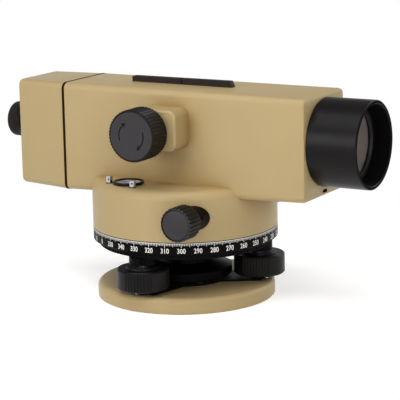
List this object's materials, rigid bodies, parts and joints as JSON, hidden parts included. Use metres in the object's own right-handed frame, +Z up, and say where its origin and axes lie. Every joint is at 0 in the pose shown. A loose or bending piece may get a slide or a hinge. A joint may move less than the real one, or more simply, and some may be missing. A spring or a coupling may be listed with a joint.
{
  "type": "automatic_level",
  "caption": "Automatic surveying level in tan enamel: tapered telescope on a drum with graduated circle, side focusing and tangent knobs, bull's eye level and a base on footscrews.",
  "frame": {"origin": "centre of the tripod thread in the underside of the base plate, on the vertical axis of the instrument", "axes": "+Z up along the vertical axis, +X along the line of sight towards the objective, +Y away from the focusing knob"},
  "size_m": [0.2526, 0.1374, 0.1341],
  "materials": {
    "painted_tan": "satin",
    "black_enamel": "satin",
    "black_rubber": "matte",
    "black_plastic": "matte",
    "grey_anodised": "matte",
    "bright_steel": "polished",
    "spring_steel": "brushed",
    "bronze": "satin",
    "brass": "satin",
    "optical_glass": "polished"
  },
  "bodies": {
    "base": {"base_plate": "painted_tan", "spring_plate": "black_enamel", "spring_plate_screws": "bright_steel"},
    "footscrew_1": {"foot_screw_1": "bright_steel", "foot_knob_1": "black_plastic"},
    "footscrew_2": {"foot_screw_2": "bright_steel", "foot_knob_2": "black_plastic"},
    "footscrew_3": {"foot_screw_3": "bright_steel", "foot_knob_3": "black_plastic"},
    "tribrach": {"tribrach_head": "black_enamel", "foot_bushes": "brass", "axis_bush": "bronze", "ring_friction_washer": "black_rubber"},
    "circle": {"graduated_ring": "black_enamel"},
    "alidade": {"main_housing": "painted_tan", "rear_housing": "painted_tan", "seam_gasket": "black_rubber", "housing_screws": "bright_steel", "drum_cover": "black_enamel", "drum_cover_screws": "bright_steel", "vertical_spindle": "bright_steel", "spindle_nut": "brass", "objective_hood": "black_enamel", "objective_cell": "black_enamel", "crown_lens": "optical_glass", "flint_lens": "optical_glass", "lens_retaining_ring": "grey_anodised", "front_plug": "black_plastic", "sight_bars": "black_plastic", "focus_tube": "grey_anodised", "pinion_bush": "bronze", "level_cup": "black_enamel", "level_bezel": "black_enamel", "level_vial": "optical_glass", "level_screws": "bright_steel", "reticle_plate": "grey_anodised", "reticle_glass": "optical_glass", "reticle_screws": "bright_steel", "compensator_frame": "grey_anodised", "suspension_wires": "spring_steel", "damping_magnets": "spring_steel", "fixed_prism": "optical_glass", "eyepiece_tube": "black_enamel", "worm_bushes": "black_enamel"},
    "worm_gear": {"worm_wheel": "brass", "clutch_spring": "spring_steel"},
    "tangent_screw": {"worm_shaft": "bright_steel", "tangent_knobs": "black_plastic", "tangent_caps": "grey_anodised"},
    "focus_drive": {"focus_knob": "black_plastic", "pinion_shaft": "bright_steel"},
    "focus_carriage": {"focus_cell": "grey_anodised", "focus_lens": "optical_glass"},
    "pendulum": {"pendulum_frame": "grey_anodised", "pendulum_prism": "optical_glass"},
    "dioptre": {"dioptre_ring": "black_plastic", "eyecup": "black_rubber"},
    "eye_slide": {"eye_cell": "grey_anodised", "eye_lens": "optical_glass"}
  },
  "joints": [
    {"name": "levelling_lift", "type": "slide", "parent": "base", "child": "tribrach", "axis": [0, 0, 1], "range_m": [-0.0007, 0.0035]},
    {"name": "foot_turn_1", "type": "hinge", "parent": "base", "child": "footscrew_1", "pos_m": [-0.00396, -0.04523, 0.0072], "axis": [0, 0, 1], "range_deg": [-253, 1261]},
    {"name": "foot_turn_2", "type": "hinge", "parent": "base", "child": "footscrew_2", "pos_m": [0.04115, 0.01919, 0.0072], "axis": [0, 0, 1], "range_deg": [-253, 1261]},
    {"name": "foot_turn_3", "type": "hinge", "parent": "base", "child": "footscrew_3", "pos_m": [-0.03719, 0.02604, 0.0072], "axis": [0, 0, 1], "range_deg": [-253, 1261]},
    {"name": "circle_turn", "type": "hinge", "parent": "tribrach", "child": "circle", "pos_m": [0, 0, 0.042], "axis": [0, 0, 1], "continuous": true},
    {"name": "alidade_turn", "type": "hinge", "parent": "tribrach", "child": "alidade", "pos_m": [0, 0, 0.042], "axis": [0, 0, 1], "continuous": true},
    {"name": "wheel_turn", "type": "hinge", "parent": "alidade", "child": "worm_gear", "pos_m": [0, 0, 0.0589], "axis": [0, 0, 1], "continuous": true},
    {"name": "tangent_turn", "type": "hinge", "parent": "alidade", "child": "tangent_screw", "pos_m": [0.0326, 0, 0.0589], "axis": [0, -1, 0], "continuous": true},
    {"name": "focus_slide", "type": "slide", "parent": "alidade", "child": "focus_carriage", "axis": [1, 0, 0], "range_m": [-0.0115, 0.0115]},
    {"name": "focus_turn", "type": "hinge", "parent": "alidade", "child": "focus_drive", "pos_m": [-0.0003, -0.04, 0.1077], "axis": [0, -1, 0], "range_deg": [-166, 166]},
    {"name": "pendulum_swing", "type": "hinge", "parent": "alidade", "child": "pendulum", "pos_m": [-0.044, 0, 0.117], "axis": [0, 1, 0], "range_deg": [-0.5, 0.5]},
    {"name": "eye_focus", "type": "slide", "parent": "alidade", "child": "eye_slide", "axis": [-1, 0, 0], "range_m": [-0.0021, 0.0021]},
    {"name": "dioptre_turn", "type": "hinge", "parent": "alidade", "child": "dioptre", "pos_m": [-0.115, 0, 0.10167], "axis": [-1, 0, 0], "range_deg": [-151, 151]}
  ],
  "couplings": [
    {"joint": "foot_turn_1", "follows": "levelling_lift", "rad_per_m": 6283.2},
    {"joint": "foot_turn_2", "follows": "levelling_lift", "rad_per_m": 6283.2},
    {"joint": "foot_turn_3", "follows": "levelling_lift", "rad_per_m": 6283.2},
    {"joint": "tangent_turn", "follows": "wheel_turn", "ratio": 120},
    {"joint": "focus_turn", "follows": "focus_slide", "rad_per_m": 250},
    {"joint": "dioptre_turn", "follows": "eye_focus", "rad_per_m": 1250}
  ]
}
